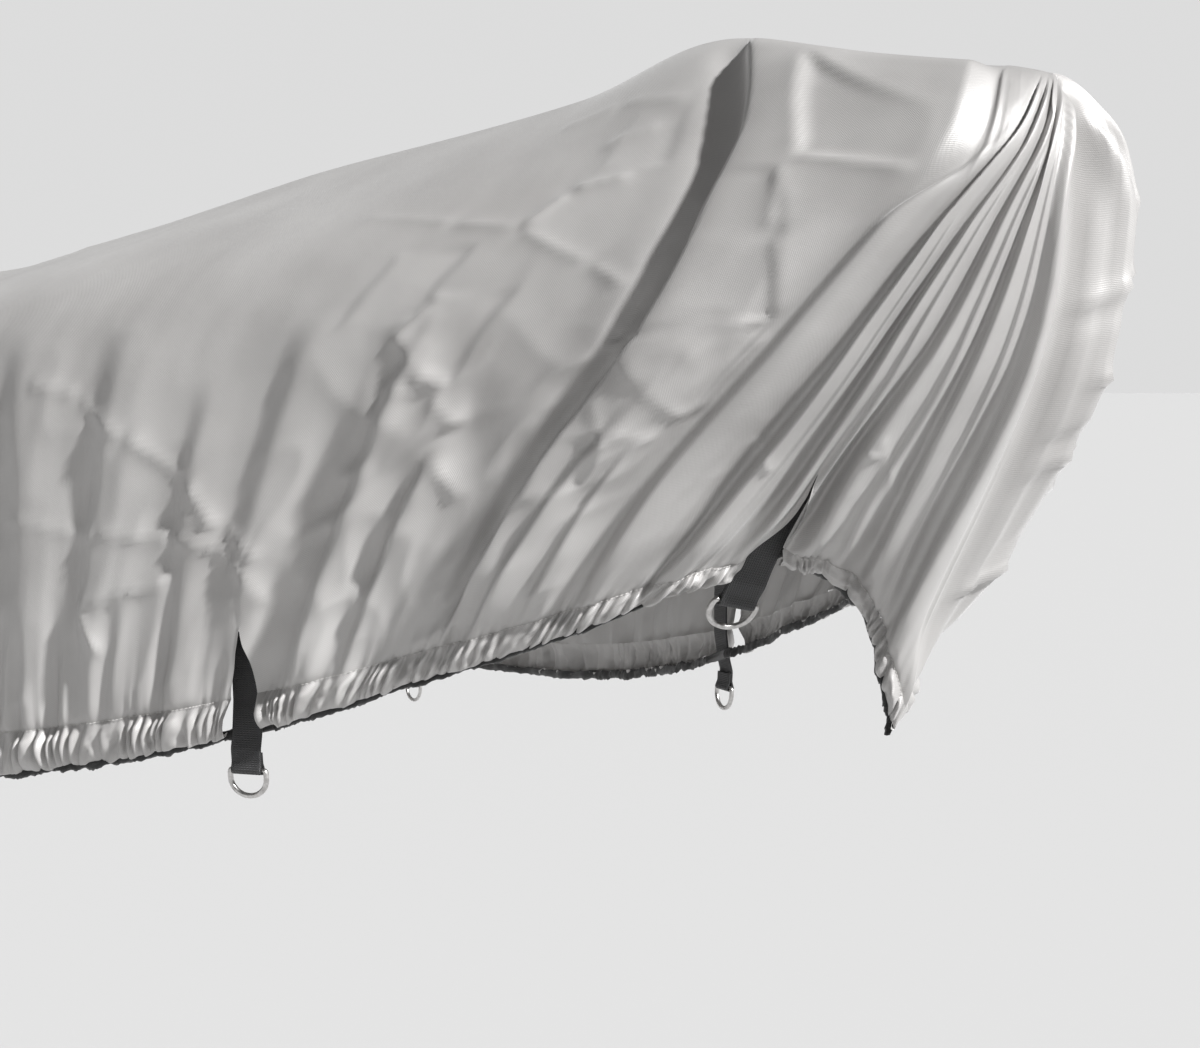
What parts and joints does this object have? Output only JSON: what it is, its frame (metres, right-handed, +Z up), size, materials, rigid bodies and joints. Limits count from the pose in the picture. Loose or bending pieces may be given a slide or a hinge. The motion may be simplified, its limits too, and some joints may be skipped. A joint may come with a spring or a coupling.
{
  "type": "boat cover",
  "caption": "Fitted cloth cover for a small boat, with a gathered elastic hem and webbing loops with D-rings for tying it down.",
  "frame": {"origin": "underside of the cover's highest ridge near the bow, where the boat carries it", "axes": "+X towards the bow, +Y to port, +Z up"},
  "size_m": [4.0597, 1.4452, 0.7456],
  "materials": {
    "cover_cloth": "silver-grey coated polyester, satin sheen, packing creases",
    "hem_elastic": "black braided elastic, fuzzy edge",
    "strap_webbing": "black ribbed polyester webbing",
    "ring_steel": "plated welded steel wire"
  },
  "bodies": {
    "root": {"cover_body": "cover_cloth", "hem_elastic": "hem_elastic", "strap_S1": "strap_webbing", "strap_S2": "strap_webbing", "strap_S3": "strap_webbing", "strap_S4": "strap_webbing", "strap_S5": "strap_webbing", "strap_P1": "strap_webbing", "strap_P2": "strap_webbing", "strap_P3": "strap_webbing", "strap_P4": "strap_webbing", "strap_P5": "strap_webbing", "ring_S1": "ring_steel", "ring_S2": "ring_steel", "ring_S3": "ring_steel", "ring_S4": "ring_steel", "ring_S5": "ring_steel", "ring_P1": "ring_steel", "ring_P2": "ring_steel", "ring_P3": "ring_steel", "ring_P4": "ring_steel", "ring_P5": "ring_steel"}
  },
  "joints": []
}
